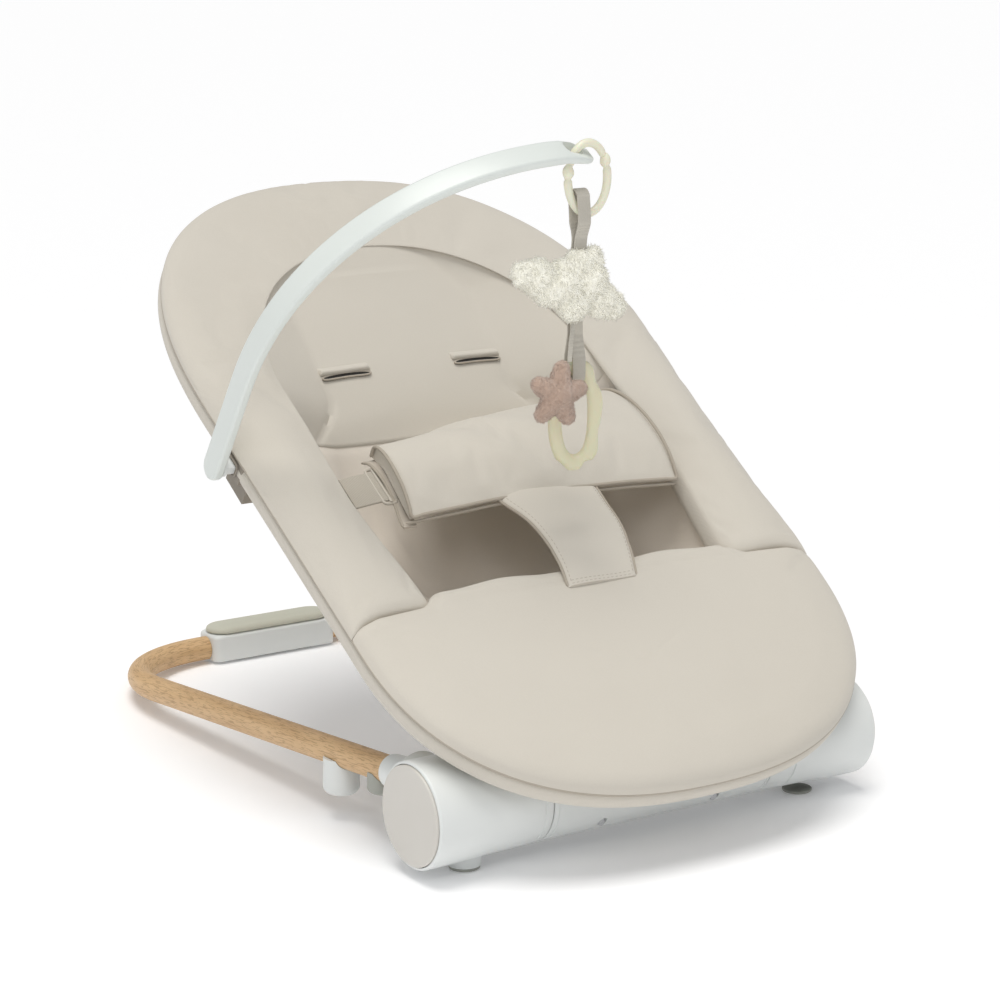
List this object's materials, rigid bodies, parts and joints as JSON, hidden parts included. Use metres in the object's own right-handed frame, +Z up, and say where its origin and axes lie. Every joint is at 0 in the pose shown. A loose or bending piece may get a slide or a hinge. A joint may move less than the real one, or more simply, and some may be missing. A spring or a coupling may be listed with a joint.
{
  "type": "baby bouncer seat",
  "caption": "Padded oval baby bouncer seat with a waist and crotch belt on a round front tube with wooden legs, plus a plug-in toy bar with hanging toys.",
  "frame": {"origin": "on the floor at the middle of the rear rest pad, under the rear crossbar", "axes": "+X to the sitter's right as seen from the foot end, +Y from the front tube towards the head end, +Z up"},
  "size_m": [0.4768, 0.7287, 0.5418],
  "materials": {
    "white_plastic": "satin moulded white",
    "beige_cap": "satin warm grey beige",
    "oak_finish": "light oak, fine lengthwise grain, satin",
    "steel": "plain steel",
    "black_plastic": "moulded black nylon",
    "grey_rubber": "soft grey rubber",
    "sage_grip": "soft sage grey grip",
    "greige_cloth": "fine woven greige cloth, padded",
    "webbing": "woven taupe webbing",
    "cream_plush": "cream towelling plush",
    "dusty_plush": "dusty pink knit",
    "cream_plastic": "cream soft plastic"
  },
  "bodies": {
    "base": {"hub_left": "white_plastic", "hub_right": "white_plastic", "axle_tube": "steel", "leg_left": "oak_finish", "leg_right": "oak_finish", "rear_crossbar": "white_plastic", "grip_pad": "sage_grip", "rear_rest_pad": "grey_rubber", "front_foot_left": "grey_rubber", "front_foot_right": "grey_rubber", "leg_stop_left": "white_plastic", "leg_stop_right": "white_plastic", "leg_bumper_left": "grey_rubber", "leg_bumper_right": "grey_rubber", "lock_ring_left": "black_plastic", "lock_ring_right": "black_plastic"},
    "barrel": {"barrel_front_shell": "white_plastic", "barrel_rear_shell": "white_plastic", "barrel_end_plate_left": "black_plastic", "barrel_end_plate_right": "black_plastic", "barrel_screw_left": "steel", "barrel_screw_right": "steel", "barrel_core": "steel", "lock_spring_left": "steel", "lock_spring_right": "steel"},
    "lock_left": {"lock_gear_left": "steel"},
    "lock_right": {"lock_gear_right": "steel"},
    "release_left": {"end_cap_left": "beige_cap"},
    "release_right": {"end_cap_right": "beige_cap"},
    "seat": {"seat_spindle": "black_plastic", "bounce_spring": "steel", "seat_arm_left": "white_plastic", "seat_arm_right": "white_plastic", "bar_socket": "black_plastic", "frame_connector": "black_plastic", "frame_head_bow": "steel", "frame_foot_bow": "steel", "side_bolster_left": "greige_cloth", "side_bolster_right": "greige_cloth", "head_bolster": "greige_cloth", "foot_pad": "greige_cloth", "back_panel": "greige_cloth", "seat_pouch": "greige_cloth", "under_cover": "greige_cloth", "belly_pad": "greige_cloth", "waist_buckle_left": "white_plastic", "waist_buckle_right": "white_plastic", "waist_strap_left": "webbing", "waist_strap_right": "webbing", "crotch_strap": "greige_cloth"},
    "bar_mount": {"bar_mount": "white_plastic"},
    "toy_bar": {"toy_bar": "white_plastic"},
    "link": {"link_ring": "cream_plastic"},
    "cloud": {"strap_loop": "webbing", "cloud_toy": "cream_plush"},
    "star": {"star_ribbon": "webbing", "star_toy": "dusty_plush"},
    "teether": {"teether_tab": "webbing", "teether_ring": "cream_plastic"}
  },
  "joints": [
    {"name": "fold_hinge", "type": "hinge", "parent": "base", "child": "barrel", "pos_m": [0, -0.6035, 0.0506], "axis": [1, 0, 0], "range_deg": [-28, 0]},
    {"name": "bounce_hinge", "type": "hinge", "parent": "barrel", "child": "seat", "pos_m": [0, -0.6035, 0.0506], "axis": [1, 0, 0], "range_deg": [-5, 5], "stiffness_Nm_per_rad": 400, "springref_deg": 1.36, "deforming": ["bounce_spring"]},
    {"name": "release_left_press", "type": "slide", "parent": "base", "child": "release_left", "axis": [1, 0, 0], "range_m": [0, 0.004], "stiffness_N_per_m": 800, "springref_m": -0.002, "deforming": ["lock_spring_left"]},
    {"name": "release_right_press", "type": "slide", "parent": "base", "child": "release_right", "axis": [-1, 0, 0], "range_m": [0, 0.004], "stiffness_N_per_m": 800, "springref_m": -0.002, "deforming": ["lock_spring_right"]},
    {"name": "lock_left_slide", "type": "slide", "parent": "barrel", "child": "lock_left", "axis": [1, 0, 0], "range_m": [0, 0.004]},
    {"name": "lock_right_slide", "type": "slide", "parent": "barrel", "child": "lock_right", "axis": [-1, 0, 0], "range_m": [0, 0.004]},
    {"name": "bar_unplug", "type": "slide", "parent": "seat", "child": "bar_mount", "axis": [-1, 0, 0], "range_m": [0, 0.03]},
    {"name": "bar_turn", "type": "hinge", "parent": "bar_mount", "child": "toy_bar", "pos_m": [-0.244, -0.36042, 0.27994], "axis": [1, 0, 0], "range_deg": [-15, 10]},
    {"name": "link_swing", "type": "hinge", "parent": "toy_bar", "child": "link", "pos_m": [-0.0115, -0.52543, 0.53115], "axis": [1, 0, 0], "range_deg": [-8, 8]},
    {"name": "cloud_swing", "type": "hinge", "parent": "link", "child": "cloud", "pos_m": [-0.0062, -0.5265, 0.48318], "axis": [1, 0, 0], "range_deg": [-8, 8]},
    {"name": "star_swing", "type": "hinge", "parent": "cloud", "child": "star", "pos_m": [-0.013, -0.5305, 0.39298], "axis": [0, 1, 0], "range_deg": [-10, 10]},
    {"name": "teether_swing", "type": "hinge", "parent": "cloud", "child": "teether", "pos_m": [-0.0057, -0.5215, 0.39298], "axis": [0, 1, 0], "range_deg": [-10, 10]}
  ],
  "couplings": [
    {"joint": "lock_left_slide", "follows": "release_left_press", "ratio": 1},
    {"joint": "lock_right_slide", "follows": "release_right_press", "ratio": 1}
  ]
}
